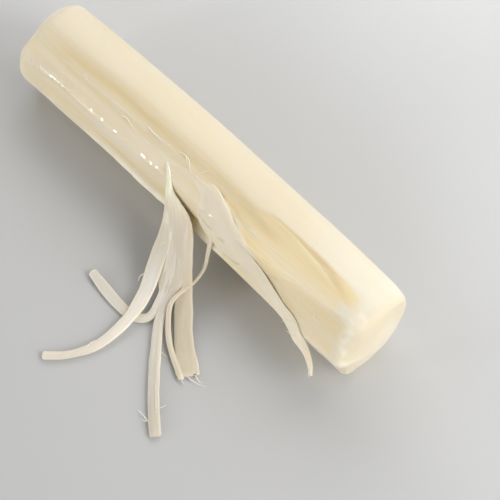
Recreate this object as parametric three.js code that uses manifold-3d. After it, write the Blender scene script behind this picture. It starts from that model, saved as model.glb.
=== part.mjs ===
// A stick of mozzarella string cheese, partly pulled apart.
// One long strip has been pulled down along the side until it hangs loose, and five
// thinner strings fan out of a second tear and trail on the table beside the stick.
// Nothing is detached, so the whole thing is one closed body.
//
// Millimetres. The stick lies along X. +X is the end cut off squarely, +Y is the side
// with its skin still on, -Y the pulled side, +Z up. The origin is the middle of the
// narrow flat the stick rests on, and z = 0 is the table.

import * as THREE from 'three';
import { mergeVertices } from 'three/addons/utils/BufferGeometryUtils.js';
import Module from 'manifold-3d';

// driving dimensions
const LENGTH = 93.8;
const RADIUS = 9.75;
const REST_CUT = 0.45;        // how far the round is flattened underneath
const BOW = 1.1;              // the two ends sit this much further towards -Y than the middle
const SHRINK = 1.12;          // a torn face is slightly hollow: above 1 it dips below a chord
const SKIN_WAVE = 0.05;       // slow unevenness of the unpeeled skin

// Each end is a shallow dome inside a rounded corner. The corner is rounder by soft round
// softAt, the whole end leans by tilt and is set back by sink round sinkAt.
const START_END = {
  dome: 0.9, tilt: 0.5, sink: 0.45, sinkAt: 10, sinkHalf: 50,
  corner: 2.0, soft: 1.8, softAt: 0, softHalf: 50,
};
const CUT_END = {
  dome: 1.3, tilt: 0, sink: 0.75, sinkAt: -55, sinkHalf: 60,
  corner: 1.3, soft: 1.2, softAt: 35, softHalf: 55,
};

const ROUND_STEPS = 60;       // points round the stick
const MIDDLE_STEPS = 40;      // rings between the two end corners
const CORNER_STEPS = 4;       // rings on each end corner
const DOME_STEPS = 2;         // rings on each end dome
const STRING_STEPS = 26;      // rings along a string
const STRING_SIDES = 8;

const COLOUR = 0xeedfba;
const ROUGHNESS = 0.42;

// Where the torn faces lie on the round, in degrees from straight up towards -Y,
// given at a few places along the stick: [place from 0 to 1, degrees].
const SKIN_EDGE = [
  [0, 7], [0.15, 9], [0.25, 6], [0.5, 3], [0.65, 5], [0.69, -2], [0.8, -5], [1, -6],
];
const SHOULDER = [[0, 56], [0.2, 54], [0.4, 52], [0.6, 48], [0.76, 43], [0.9, 31], [1, 28]];
const TOP_FACE_HALF = [[0, 24], [0.2, 23], [0.4, 24], [0.6, 25], [0.95, 25]];
const SIDE_FACE_HALF = [[0, 20], [0.4, 22], [0.6, 26], [0.9, 27]];
const SIDE_FACE_DROP = [[0, 0], [0.3, 0.05], [0.6, 0.25], [0.9, 0.1]];
const TOP_ROUNDING = [[0, 1.2], [0.5, 0.9], [0.7, 0.25], [1, 0.25]];

// The wedge that opens below the edge of the skin near the cut end, and the rolled lip
// along the bottom of the torn part, in mm.
const WEDGE_DEPTH = [[0.68, 0], [0.74, 0.1], [0.86, 0.22], [0.9, 0.2], [0.94, 0]];
const WEDGE_HALF = [[0.7, 2], [0.9, 9]];
const LIP_HEIGHT = [[0.2, 0], [0.255, 0.23], [0.37, 0.42], [0.5, 0.38], [0.61, 0.25], [0.68, 0]];

// Strings. Each row is x, y, z and width. The first row is inside the stick, and every
// string gets thicker and turns its flat side up as it comes down to the table. The web
// is the thin sheet that still joins them where they leave the stick.
const LEFT_STRING = {
  thickness: 1.05,
  rows: [
    [-7.5, -3.6, 15.6, 0.6],
    [-4.6, -5.7, 16.1, 0.6],
    [-3.4, -6.7, 15.55, 0.8],
    [-2.2, -7.8, 14.7, 1.0],
    [-1.5, -8.7, 13.4, 1.3],
    [-0.9, -9.2, 11.6, 1.8],
    [1.2, -11.8, 8.8, 2.5],
    [3.1, -15.6, 6.0, 3.1],
    [4.6, -19.0, 3.9, 3.2],
    [6.3, -22.8, 2.2, 2.9],
    [7.6, -27.4, 1.25, 2.5],
    [7.9, -32.3, 0.7, 2.1],
    [7.3, -37.2, 0.55, 1.9],
    [4.9, -42.0, 0.55, 1.6],
    [1.7, -45.4, 0.55, 1.6],
  ],
};
const HOOKED_STRING = {
  thickness: 0.8,
  rows: [
    [-6.9, -3.9, 15.5, 0.6],
    [-4.6, -5.6, 16.1, 0.6],
    [-3.4, -6.7, 15.55, 0.8],
    [-2.2, -7.7, 14.7, 1.0],
    [-1.3, -8.6, 13.4, 1.3],
    [0.0, -9.2, 12.0, 1.6],
    [2.6, -11.6, 9.2, 2.0],
    [5.2, -14.6, 6.5, 2.4],
    [7.4, -17.6, 4.2, 2.4],
    [9.0, -20.5, 2.4, 2.1],
    [10.2, -25.5, 0.65, 1.8],
    [8.9, -27.3, 0.45, 1.9],
    [5.7, -28.1, 0.43, 2.1],
    [1.0, -28.0, 0.45, 2.3],
    [-4.6, -27.3, 0.85, 1.8],
  ],
};
const MIDDLE_STRING = {
  thickness: 1.05,
  rows: [
    [-6.5, -4.1, 15.5, 0.6],
    [-4.6, -5.6, 16.1, 0.6],
    [-3.3, -6.6, 15.55, 0.8],
    [-2.1, -7.6, 14.7, 1.0],
    [-1.1, -8.4, 13.4, 1.3],
    [0.8, -8.9, 12.6, 1.6],
    [3.8, -10.9, 9.9, 2.0],
    [6.9, -13.7, 6.8, 2.2],
    [9.7, -17.3, 3.8, 2.0],
    [10.9, -21.7, 1.8, 1.7],
    [12.3, -25.0, 0.9, 1.9],
    [15.4, -28.7, 0.6, 2.1],
    [20.1, -33.7, 0.56, 2.2],
    [24.6, -37.9, 0.56, 2.35],
    [28.3, -40.9, 0.56, 2.3],
  ],
};
const WIDE_STRING = {
  thickness: 0.55,
  rows: [
    [-6.1, -4.2, 15.4, 0.6],
    [-4.6, -5.6, 16.1, 0.6],
    [-3.3, -6.6, 15.55, 0.8],
    [-2.1, -7.6, 14.7, 1.0],
    [-1.0, -8.3, 13.4, 1.3],
    [1.4, -8.9, 12.35, 1.8],
    [4.4, -9.8, 10.8, 2.5],
    [6.6, -11.8, 8.8, 2.9],
    [8.7, -14.4, 6.0, 3.1],
    [11.2, -17.2, 3.6, 3.3],
    [14.2, -20.3, 1.6, 3.5],
    [17.6, -23.7, 0.6, 3.6],
    [24.1, -28.6, 0.33, 4.5],
  ],
};
const THIN_STRING = {
  thickness: 0.75,
  rows: [
    [9.6, -6.8, 9.9, 1.0],
    [10.1, -8.7, 10.0, 1.0],
    [10.8, -10.3, 7.6, 0.8],
    [11.8, -12.5, 5.0, 0.8],
    [12.1, -15.6, 3.9, 0.75],
    [11.7, -18.7, 3.4, 0.8],
    [11.8, -21.3, 2.6, 0.9],
    [13.6, -23.8, 1.5, 1.0],
    [17.0, -26.7, 0.75, 1.1],
    [23.7, -30.0, 0.62, 1.2],
  ],
};
const WEB = {
  thickness: 0.4,
  rows: [
    [-7.2, -3.8, 15.3, 0.5],
    [-4.6, -5.6, 16.1, 0.6],
    [-3.4, -6.7, 15.55, 0.8],
    [-2.1, -7.7, 14.7, 1.0],
    [-1.2, -8.5, 13.4, 1.3],
    [0.4, -9.0, 11.9, 2.8],
    [2.6, -11.0, 9.7, 5.2],
    [4.2, -13.7, 7.2, 5.8],
    [5.8, -16.5, 4.9, 5.2],
    [7.7, -18.6, 3.6, 3.6],
    [8.7, -20.0, 2.8, 2.6],
    [9.6, -21.5, 1.9, 1.0],
  ],
};
const STRING_THIN = 0.6;      // thickness where a string is still high on the stick
const STRING_HUG = 0.25;      // how much a string curls round the stick across its width
// height above the table, lean: 0 has the flat side up, 90 has it facing -Y
const STRING_LEAN = [
  [0.6, 0], [2.1, 12], [3.8, 24], [6, 38], [8.8, 50], [11.8, 60], [15, 55], [17, 38],
];

// The strip that hangs off the side. Each row is x, degrees round the stick, how far it
// is off the surface, width and lean.
const STRIP_THICKNESS = 0.5;
const STRIP_HUG = 0.8;
const HANGING_STRIP = [
  [1.0, 36, -1.0, 3.5, 34],
  [3.4, 36, -0.42, 5.0, 36],
  [6.4, 39, 0.1, 5.7, 40],
  [9.2, 46, 0.3, 6.3, 47],
  [12.2, 54, 0.42, 6.7, 56],
  [16.0, 65, 0.44, 6.1, 63],
  [20.1, 71, 0.38, 5.1, 67],
  [28.4, 82, 0.3, 3.3, 68],
  [32.0, 84, 0.33, 2.7, 62],
  [35.0, 90, 0.85, 2.4, 56],
  [37.5, 100, 1.6, 1.8, 48],
  [39.4, 108, 2.8, 1.2, 45],
  [41.0, 113, 4.4, 0.6, 45],
];

// A narrow strand beside the strip, held on only at its ends.
const STRAND_THICKNESS = 0.6;
const STRAND_HUG = 0.5;
const SIDE_STRAND = [
  [5.4, 54, -0.5, 0.6, 54],
  [5.9, 61, 0.0, 1.0, 61],
  [6.8, 67, 0.25, 1.7, 67],
  [8.8, 73, 0.35, 2.3, 73],
  [11.6, 79, 0.38, 2.3, 79],
  [14.6, 82, 0.35, 1.9, 82],
  [17.6, 82, 0.2, 1.4, 82],
  [20.6, 80, -0.1, 0.8, 80],
];

const degrees = THREE.MathUtils.degToRad;
const smoothstep = (low, high, v) => THREE.MathUtils.smoothstep(v, low, high);

function along(table, place) {
  const last = table.length - 1;
  if (place <= table[0][0]) return table[0][1];
  for (let i = 1; i <= last; i += 1) {
    const [a, va] = table[i - 1];
    const [b, vb] = table[i];
    if (place <= b) return THREE.MathUtils.lerp(va, vb, (place - a) / (b - a));
  }
  return table[last][1];
}

function angleBetween(a, b) {
  return THREE.MathUtils.euclideanModulo(a - b + 180, 360) - 180;
}

// the lower of two radii, with the corner between them rounded over k
function blendLower(a, b, k) {
  const h = THREE.MathUtils.clamp(0.5 + (0.5 * (b - a)) / k, 0, 1);
  return THREE.MathUtils.lerp(b, a, h) - k * h * (1 - h);
}

// radius of a torn face that meets the round at middle - half and middle + half
function tornFace(angle, middle, half) {
  const away = THREE.MathUtils.clamp(SHRINK * angleBetween(angle, middle), -80, 80);
  return (RADIUS * Math.cos(degrees(SHRINK * half))) / Math.cos(degrees(away));
}

function hump(angle, middle, half) {
  const away = angleBetween(angle, middle) / half;
  return Math.exp(-away * away);
}

// the skin that has not been pulled: almost round, with one long soft facet, and drawn in
// a little on that side just before the cut end
function skinRadius(place, angle) {
  let r = RADIUS * (1 + 0.006 * Math.cos(degrees(2 * (angle - 35))));
  const away = THREE.MathUtils.clamp(angleBetween(angle, -46), -80, 80);
  r = blendLower(r, (RADIUS * 0.985) / Math.cos(degrees(away)), 0.12);
  r -= 0.7 * smoothstep(0.93, 1, place) * hump(angle, -70, 45);
  const slow = Math.sin(2 * Math.PI * (1.3 * place + 0.1) + degrees(angle));
  const quick = Math.sin(2 * Math.PI * (2.9 * place + 0.35) + degrees(2 * angle));
  return r + SKIN_WAVE * (slow + 0.7 * quick);
}

// the pulled side: a top face, a side face below the shoulder and a small under face.
// The top face runs out just before the cut end, where the under face tapers in.
function pulledRadius(place, angle) {
  const edge = along(SKIN_EDGE, place);
  const runOut = 1.9 * smoothstep(0.8, 1, place);
  const topHalf = along(TOP_FACE_HALF, place);
  const sideHalf = along(SIDE_FACE_HALF, place);
  const shoulder = along(SHOULDER, place);
  const top = tornFace(angle, edge + topHalf, topHalf) + runOut;
  const side = tornFace(angle, shoulder + sideHalf - 1.5, sideHalf)
    - along(SIDE_FACE_DROP, place) + 0.6 * smoothstep(0.9, 0.985, place);
  const under = tornFace(angle, 104, 15) - 0.1 - 0.75 * smoothstep(0.86, 1, place);
  const soft = 1 - smoothstep(0.03, 0.2, place);
  let r = blendLower(skinRadius(place, angle), top, along(TOP_ROUNDING, place));
  r = blendLower(r, side, 0.4 + 0.9 * soft);
  r = blendLower(r, under, 0.45 + 0.8 * soft);
  const grooveReach = smoothstep(0.04, 0.14, place) * (1 - smoothstep(0.58, 0.72, place));
  const groove = 0.38 * hump(angle, 89, 4.5) * grooveReach;
  const wedgeHalf = along(WEDGE_HALF, place);
  const wedge = along(WEDGE_DEPTH, place) * hump(angle, edge + wedgeHalf + 1, wedgeHalf);
  const lip = along(LIP_HEIGHT, place) * hump(angle, 99, 5.5);
  return r - groove - wedge + lip;
}

function stickRadius(place, angle) {
  const down = Math.max(Math.cos(degrees(angleBetween(angle, 180))), 0.2);
  return Math.min(pulledRadius(place, angle), (RADIUS - REST_CUT) / down);
}

// One end of the stick at one angle: [depth in from the tip, part of the full radius].
function endPlace(end, step, angle) {
  const corner = end.corner + end.soft * hump(angle, end.softAt, end.softHalf);
  const inner = 1 - corner / RADIUS;
  const turn = (Math.PI / 2) * (Math.max(step - DOME_STEPS, 0) / CORNER_STEPS);
  const across = Math.min(step / DOME_STEPS, 1);
  const part = inner * across + (corner / RADIUS) * Math.sin(turn);
  const depth = end.dome * across ** 2 + corner * (1 - Math.cos(turn));
  const lean = end.tilt * Math.sin(degrees(angle));
  const sink = end.sink * hump(angle, end.sinkAt, end.sinkHalf);
  return [Math.max(depth + part * (lean + sink), 0), part];
}

// [x, part of the full radius] of a ring at one angle, the tips being rows 0 and LAST_ROW
const END_STEPS = DOME_STEPS + CORNER_STEPS;
const LAST_ROW = 2 * END_STEPS + MIDDLE_STEPS;
function stickPlace(row, angle) {
  if (row <= END_STEPS) {
    const [depth, part] = endPlace(START_END, row, angle);
    return [depth - LENGTH / 2, part];
  }
  if (row >= LAST_ROW - END_STEPS) {
    const [depth, part] = endPlace(CUT_END, LAST_ROW - row, angle);
    return [LENGTH / 2 - depth, part];
  }
  const from = stickPlace(END_STEPS, angle)[0];
  const to = stickPlace(LAST_ROW - END_STEPS, angle)[0];
  return [THREE.MathUtils.lerp(from, to, (row - END_STEPS) / MIDDLE_STEPS), 1];
}

function bowAt(x) {
  return -BOW * ((2 * x) / LENGTH) ** 2;
}

function stickPoint(row, angle) {
  const [x, part] = stickPlace(row, angle);
  const r = stickRadius(x / LENGTH + 0.5, angle) * part;
  const y = bowAt(x) - r * Math.sin(degrees(angle));
  return [x, y, RADIUS - REST_CUT + r * Math.cos(degrees(angle))];
}

// Closes rows of equal rings into one surface with a point at each end.
function skinOver(rings, firstTip, lastTip) {
  const count = rings[0].length;
  const points = [firstTip, ...rings.flat(), lastTip];
  const faces = [];
  const at = (row, i) => 1 + row * count + (i % count);
  const end = points.length - 1;
  for (let i = 0; i < count; i += 1) {
    faces.push(0, at(0, i + 1), at(0, i));
    faces.push(end, at(rings.length - 1, i), at(rings.length - 1, i + 1));
    for (let row = 1; row < rings.length; row += 1) {
      faces.push(at(row - 1, i), at(row - 1, i + 1), at(row, i + 1));
      faces.push(at(row - 1, i), at(row, i + 1), at(row, i));
    }
  }
  const shape = new THREE.BufferGeometry();
  shape.setAttribute('position', new THREE.Float32BufferAttribute(points.flat(), 3));
  shape.setIndex(faces);
  return shape;
}

function makeStick() {
  const rings = [];
  for (let row = 1; row < LAST_ROW; row += 1) {
    const ring = [];
    for (let i = 0; i < ROUND_STEPS; i += 1) {
      ring.push(stickPoint(row, 180 + (360 * i) / ROUND_STEPS));
    }
    rings.push(ring);
  }
  const tip = (x) => [x, -BOW, RADIUS - REST_CUT];
  return skinOver(rings, tip(-LENGTH / 2), tip(LENGTH / 2));
}

// Sweeps a flat string along rows of [x, y, z, width, thickness, lean], blunt at both ends.
function sweepString(rows, hug) {
  const column = (k) => rows.map((row) => new THREE.Vector3(row[k], row[k + 1], row[k + 2]));
  const line = new THREE.CatmullRomCurve3(column(0));
  const form = new THREE.CatmullRomCurve3(column(3));
  const rings = [];
  for (let i = 0; i <= STRING_STEPS; i += 1) {
    const t = line.getUtoTmapping(i / STRING_STEPS);
    const middle = line.getPoint(t);
    const ahead = line.getTangent(t);
    const size = form.getPoint(t);
    const lean = degrees(size.z);
    const face = new THREE.Vector3(0, -Math.sin(lean), Math.cos(lean));
    const across = new THREE.Vector3().crossVectors(face, ahead).normalize();
    face.crossVectors(ahead, across);
    rings.push(stringRing(middle, across, face, size.x, size.y, hug));
  }
  const centre = (ring) => [0, 1, 2].map((k) => {
    const total = ring.reduce((sum, p) => sum + p[k], 0);
    return total / ring.length;
  });
  return skinOver(rings, centre(rings[0]), centre(rings[rings.length - 1]));
}

function stringRing(middle, across, face, width, thickness, hug) {
  const soften = (v) => Math.sign(v) * Math.abs(v) ** 0.7 / 0.946;
  const ring = [];
  for (let i = 0; i < STRING_SIDES; i += 1) {
    const turn = (2 * Math.PI * (i + 0.5)) / STRING_SIDES;
    const side = (width / 2) * soften(Math.cos(turn));
    const lift = (thickness / 2) * soften(Math.sin(turn)) - (hug * side * side) / (2 * RADIUS);
    const p = middle.clone().addScaledVector(across, side).addScaledVector(face, lift);
    ring.push([p.x, p.y, p.z]);
  }
  return ring;
}

function makeString({ thickness, rows }) {
  const full = rows.map(([x, y, z, width]) => {
    const high = THREE.MathUtils.clamp(z / 8, 0, 1);
    const depth = THREE.MathUtils.lerp(thickness, STRING_THIN, high);
    return [x, y, z, width, depth, along(STRING_LEAN, z)];
  });
  return sweepString(full, STRING_HUG);
}

// a strip along rows of [x, degrees round the stick, lift off it, width, lean]
function makeStrip(rows, thickness, hug) {
  const full = rows.map(([x, angle, lift, width, lean]) => {
    const out = stickRadius(x / LENGTH + 0.5, angle) + lift;
    const y = bowAt(x) - out * Math.sin(degrees(angle));
    const z = RADIUS - REST_CUT + out * Math.cos(degrees(angle));
    return [x, y, z, width, thickness, lean];
  });
  return sweepString(full, hug);
}

function toSolid(wasm, shape) {
  const position = shape.getAttribute('position');
  return new wasm.Manifold(new wasm.Mesh({
    numProp: 3,
    vertProperties: new Float32Array(position.array),
    triVerts: new Uint32Array(shape.getIndex().array),
  }));
}

function toShape(solid) {
  const mesh = solid.getMesh();
  const shape = new THREE.BufferGeometry();
  const positions = new Float32Array(mesh.vertProperties);
  shape.setAttribute('position', new THREE.BufferAttribute(positions, 3));
  shape.setIndex(new THREE.BufferAttribute(new Uint32Array(mesh.triVerts), 1));
  return mergeVertices(shape, 1e-4);
}

const wasm = await Module();
wasm.setup();

let cheese = toSolid(wasm, makeStick());
for (const string of [WEB, LEFT_STRING, HOOKED_STRING, MIDDLE_STRING, WIDE_STRING, THIN_STRING]) {
  cheese = cheese.add(toSolid(wasm, makeString(string)));
}
cheese = cheese.add(toSolid(wasm, makeStrip(HANGING_STRIP, STRIP_THICKNESS, STRIP_HUG)));
cheese = cheese.add(toSolid(wasm, makeStrip(SIDE_STRAND, STRAND_THICKNESS, STRAND_HUG)));

const shape = toShape(cheese);
shape.computeVertexNormals();
const material = new THREE.MeshStandardMaterial({
  color: COLOUR,
  roughness: ROUGHNESS,
  metalness: 0,
});
const mesh = new THREE.Mesh(shape, material);
mesh.name = 'string_cheese';

const part = new THREE.Group();
part.name = 'string_cheese_stick';
part.add(mesh);

export default part;
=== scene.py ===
import math

import bpy
import numpy as np
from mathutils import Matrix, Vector, noise
from mathutils.kdtree import KDTree


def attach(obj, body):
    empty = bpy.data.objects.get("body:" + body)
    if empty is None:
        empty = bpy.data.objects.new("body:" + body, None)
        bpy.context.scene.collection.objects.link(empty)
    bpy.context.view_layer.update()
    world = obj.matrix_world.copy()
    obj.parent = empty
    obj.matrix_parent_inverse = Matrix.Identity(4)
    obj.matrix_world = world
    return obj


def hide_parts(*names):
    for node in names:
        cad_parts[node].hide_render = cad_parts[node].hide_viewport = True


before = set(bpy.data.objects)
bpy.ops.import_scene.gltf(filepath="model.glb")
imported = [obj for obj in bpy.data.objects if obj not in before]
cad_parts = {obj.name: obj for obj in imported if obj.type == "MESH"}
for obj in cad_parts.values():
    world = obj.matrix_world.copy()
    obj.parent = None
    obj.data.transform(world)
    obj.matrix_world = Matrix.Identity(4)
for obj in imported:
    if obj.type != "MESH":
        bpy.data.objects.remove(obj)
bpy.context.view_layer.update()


# The stick
# A round stick of stretched mozzarella, resting on a narrow flat. Its far side still
# has its smooth skin. The near side has been pulled into long hollow faces that meet
# at a wet shoulder, with a pale lip along the bottom of the torn part.
# Shapes are worked out in millimetres and turned into metres as each mesh is made.
LENGTH = 93.8
RADIUS = 9.75
REST_CUT = 0.45
AXIS_HEIGHT = RADIUS - REST_CUT
BOW = 1.1
SHRINK = 1.12


def smooth(low, high, v):
    t = np.clip((v - low) / (high - low), 0, 1)
    return t * t * (3 - 2 * t)


def along(table, place):
    return np.interp(place, [row[0] for row in table], [row[1] for row in table])


def between(a, b):
    return (a - b + 180) % 360 - 180


def blend_lower(a, b, k):
    h = np.clip(0.5 + 0.5 * (b - a) / k, 0, 1)
    return b + (a - b) * h - k * h * (1 - h)


def rough(x, y, z):
    """Smooth noise from -1 to 1 at each point."""
    flat = np.broadcast_arrays(x, y, z)
    values = [noise.noise(p) for p in zip(*(c.ravel().tolist() for c in flat))]
    return np.array(values).reshape(flat[0].shape)


def torn_face(angle, middle, half):
    away = np.clip(SHRINK * between(angle, middle), -80, 80)
    return RADIUS * np.cos(np.radians(SHRINK * half)) / np.cos(np.radians(away))


def hump(angle, middle, half):
    return np.exp(-((between(angle, middle) / half) ** 2))


def below(x, angle, line):
    """How far below a line along the stick each point is, in mm, lines being [x, degrees]."""
    return between(angle, along(line, x)) * math.radians(RADIUS)


def part_way(x, start, stop, soft):
    return smooth(start - soft, start + soft, x) * (1 - smooth(stop - soft, stop + soft, x))


def stick_radius(place, angle):
    """Radius in mm without relief, the radius of the whole skin and where the shoulder is.
    Place is from 0 to 1 along the stick, angle in degrees from up towards -Y."""
    skin = RADIUS * (1 + 0.006 * np.cos(np.radians(2 * (angle - 35))))
    flat = RADIUS * 0.985 / np.cos(np.radians(np.clip(between(angle, -46), -80, 80)))
    skin = blend_lower(skin, flat, 0.12)
    skin = skin - 0.7 * smooth(0.93, 1, place) * hump(angle, -70, 45)
    skin = skin + 0.05 * np.sin(2 * np.pi * (1.3 * place + 0.1) + np.radians(angle))
    skin = skin + 0.035 * np.sin(2 * np.pi * (2.9 * place + 0.35) + np.radians(2 * angle))
    edge = [[0, 7], [0.15, 9], [0.25, 6], [0.5, 3], [0.65, 5], [0.69, -2], [0.8, -5], [1, -6]]
    edge = along(edge, place)
    top_half = along([[0, 24], [0.2, 23], [0.4, 24], [0.6, 25], [0.95, 25]], place)
    side_half = along([[0, 20], [0.4, 22], [0.6, 26], [0.9, 27]], place)
    shoulder = [[0, 56], [0.2, 54], [0.4, 52], [0.6, 48], [0.76, 43], [0.9, 31], [1, 28]]
    shoulder = along(shoulder, place)
    drop = along([[0, 0], [0.3, 0.05], [0.6, 0.25], [0.9, 0.1]], place)
    run_out = 1.9 * smooth(0.8, 1.0, place)
    top = torn_face(angle, edge + top_half, top_half) + run_out
    side = torn_face(angle, shoulder + side_half - 1.5, side_half) - drop
    side = side + 0.6 * smooth(0.9, 0.985, place)
    under = torn_face(angle, 104, 15) - 0.1 - 0.75 * smooth(0.86, 1, place)
    soft = 1 - smooth(0.03, 0.2, place)
    r = blend_lower(skin, top, along([[0, 1.2], [0.5, 0.9], [0.7, 0.25], [1, 0.25]], place))
    r = blend_lower(r, side, 0.4 + 0.9 * soft)
    r = blend_lower(r, under, 0.45 + 0.8 * soft)
    reach = smooth(0.04, 0.14, place) * (1 - smooth(0.58, 0.72, place))
    r = r - 0.38 * hump(angle, 89, 4.5) * reach
    return r, skin, edge, shoulder


def relief(x, angle):
    """Radius in mm with its relief, then for each point how torn it is, its painted shade,
    how filmy and wet it is, its pale lip and painted highlights, and how pitted it is."""
    bend = 0.9 * rough(x * 0.11, 3.1, 0.0) + 0.4 * rough(x * 0.45, 7.7, 0.0)
    r, skin, edge, shoulder = stick_radius(x / LENGTH + 0.5, angle + bend)
    torn = smooth(0.03, 0.4, skin - r)
    y, z = RADIUS * np.sin(np.radians(angle)), RADIUS * np.cos(np.radians(angle))
    long_fibre = rough(x * 0.03, y * 0.7, z * 0.7) + 0.6 * rough(x * 0.07, y * 1.9, z * 1.9 + 5)

    # the hollow under the edge of the skin, and the wedge it opens into at the +X end
    trough_line = [[-42, 22], [-33, 17], [-27, 13], [-21, 11], [-15, 13], [14, 13], [20, 17]]
    trough_line = along(trough_line, x) + 2 * rough(x * 0.08, 2.2, 8.0)
    trough = hump(angle, trough_line, 6 + 3 * (1 - smooth(-30, -12, x)))
    trough = trough * part_way(x, -38, 20, 4)
    wedge_foot = [[16, 4], [19, 0], [23.2, -0.5], [26.4, 1], [29.8, 2.5], [32.4, 5], [34.6, 9],
                  [38, 14], [42, 17]]
    width = np.maximum(along(wedge_foot, x) - edge, 1)
    across = (angle - edge) / width
    soft = np.maximum(1.2, 0.25 * (x - 22)) / width
    wedge = smooth(-0.1, 0.5, across) * (1 - smooth(1 - soft, 1 + soft, across))
    wedge = wedge * along([[16, 0], [20, 0.5], [28, 0.9], [33, 1], [37, 0.6], [41.5, 0]], x)
    r = r - 0.16 * trough - 0.2 * wedge

    # thin wet film left along the shoulder, and the broad root of the hanging strip
    film_top = [[-44, 28], [-33.5, 32], [-23.5, 35], [-15, 36], [-8, 34], [-2, 28], [3.5, 24],
                [8.2, 23], [10.8, 27], [15.9, 39], [23, 55]]
    film_foot = [[-44, 56], [-33, 52], [-21.5, 58], [-7.5, 61], [-5, 47], [-3, 34], [1.5, 33],
                 [4.2, 39], [5.6, 52], [6.3, 75], [7.2, 83], [12, 84], [20, 83]]
    film = smooth(-0.12, 0.16, below(x, angle, film_top) + 0.25 * rough(x * 0.5, 1.0, 4.0))
    film = film * (1 - smooth(-0.35, 0.3, below(x, angle, film_foot)))
    film = film * part_way(x, -41, 21, 3)
    depth = along([[-40, 0.02], [-20, 0.03], [0, 0.05], [5, 0.14], [9, 0.14], [12, 0.04]], x)
    r = r + depth * film
    film = film * along([[-40, 0.45], [-20, 0.5], [-6, 0.45], [-1, 0.3], [5, 1]], x)
    film = film * (0.85 + 0.4 * rough(x * 0.16, y * 1.5, z * 1.5))

    # fine raised fibres left on the face
    for fibre in ([[-12, 22], [-7.6, 21], [-4, 17]], [[-39, 38], [-30, 39.5], [-22, 37.5]],
                  [[-35, 27], [-20, 25], [-9, 27]], [[-6, 26], [0, 24], [4, 23.5]],
                  [[17, 30], [24, 26], [33, 24]], [[19, 44], [26, 38], [30, 34]]):
        line = below(x, angle, fibre) + 0.12 * rough(x * 0.6, fibre[0][0], 3.0)
        raised = np.exp(-((line / 0.13) ** 2)) * part_way(x, fibre[0][0], fibre[-1][0], 1.5)
        r = r + 0.07 * raised

    # a fold runs over the face at the +X end, the face under it lies lower
    fold_line = [[22, 60], [25.2, 51], [26.8, 44], [30.4, 35.5], [36.8, 31], [41, 25]]
    fold = below(x, angle, fold_line)
    fold = smooth(-0.1, 0.3, fold) * (1 - smooth(0.6, 6, fold)) * part_way(x, 23, 40, 2.5)
    r = r - 0.2 * fold

    # slits beside the root of the strip
    slit = np.exp(-((below(x, angle, [[6, 55], [9.4, 64]]) / 0.16) ** 2))
    low_slit = np.exp(-((below(x, angle, [[14, 86], [17.4, 84]]) / 0.16) ** 2))
    slit = slit * part_way(x, 6, 9.2, 0.7) + low_slit * part_way(x, 13.8, 17.4, 0.8)
    r = r - 0.45 * slit

    # a pale rolled lip along the bottom of the torn part, with a groove above it
    lip = along([[-28, 0], [-23, 0.55], [-12, 1], [0, 0.9], [10, 0.6], [17, 0]], x)
    lip_line = 92.5 + 2.5 * rough(x * 0.12, 9.3, 1.0)
    lip = lip * (1 + 0.3 * rough(x * 0.5, 4.4, 0.3))
    crest = lip * hump(angle, lip_line, 4.5)
    lip = lip * hump(angle, lip_line, 5 + 4.5 * smooth(0, 1, between(angle, lip_line)))
    groove = hump(angle, lip_line - 12.5, 4) * part_way(x, -22, 14, 4)
    r = r + 0.42 * lip - 0.28 * groove

    # whey lies along the shoulder and levels it out: a streak, then one drop after another
    wet = 0 * r
    for drop_x, drop_angle, size, long in [
        [-38.6, 54.1, 0.8, 1], [-37.2, 53.2, 1.1, 1], [-35.9, 52.6, 1.2, 1],
        [-34.6, 51.9, 1.1, 1], [-33.4, 51.4, 0.8, 1], [-32.2, 51, 0.65, 1.2],
        [-31.2, 50.6, 0.5, 1], [-29.6, 50, 0.5, 1.2], [-28.3, 50.0, 0.4, 1],
        [-26.9, 48.8, 0.95, 1.1], [-24.2, 49.9, 0.9, 1.1], [-22.8, 50.2, 0.35, 1],
        [-21.2, 50.4, 0.85, 1.1], [-19.3, 50.2, 0.35, 1], [-17.4, 50.5, 0.8, 1],
        [-9.6, 51.2, 1.3, 1.5], [-7.6, 50.8, 1.2, 1], [-6.1, 50.8, 1.0, 1.1],
    ]:
        reach = size * (0.62 + 0.3 * rough(x * 1.6, angle * 0.25, 12.0))
        away = ((x - drop_x) / long) ** 2 + (math.radians(RADIUS) * (angle - drop_angle)) ** 2
        drop = np.exp(-((away / reach**2) ** 1.5))
        level = stick_radius(drop_x / LENGTH + 0.5, drop_angle)[0] + 0.05
        level = level * np.cos(np.radians(drop_angle - 46.7)) / np.cos(np.radians(angle - 46.7))
        level = level + (0.083 + 0.00237 * drop_x) * (x - drop_x)
        ripple = 0.007 + 0.045 * (1 - smooth(-33, -29, drop_x))
        level = level + ripple * rough(x * 2.7, angle * 0.45, 5.0)
        r = r + (level - r) * drop
        wet = np.maximum(wet, drop * (0.45 + 0.55 * smooth(-32, -28, drop_x)))

    # the rim of the cut end stands up in flakes where the torn faces reach it
    rim_line = x - along([[0, 42.6], [30, 42.8], [50, 43.1], [77, 44.6]], angle)
    flakes = smooth(-0.25, 0.35, rough(x * 0.9, angle * 0.13, 6.0))
    rim = np.exp(-((rim_line / 1.3) ** 2)) * smooth(2, 20, angle) * (1 - smooth(72, 85, angle))
    r = r + 0.1 * rim * (0.4 + flakes)

    # torn fibres fill the gap along the upper edge of the strip
    strip_edge = [[9, 25.5], [10.2, 28.5], [12, 31.5], [13.6, 35], [15, 39], [16.5, 41],
                  [20.4, 45], [24.9, 52], [28.7, 70], [32, 73]]
    beside_strip = below(x, angle, strip_edge)
    filled = along([[8, 0], [9.5, 0.45], [14.5, 0.45], [17.5, 0.28], [29, 0.25], [32, 0]], x)
    r = r + filled * np.exp(-((beside_strip / 0.75) ** 2))

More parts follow.
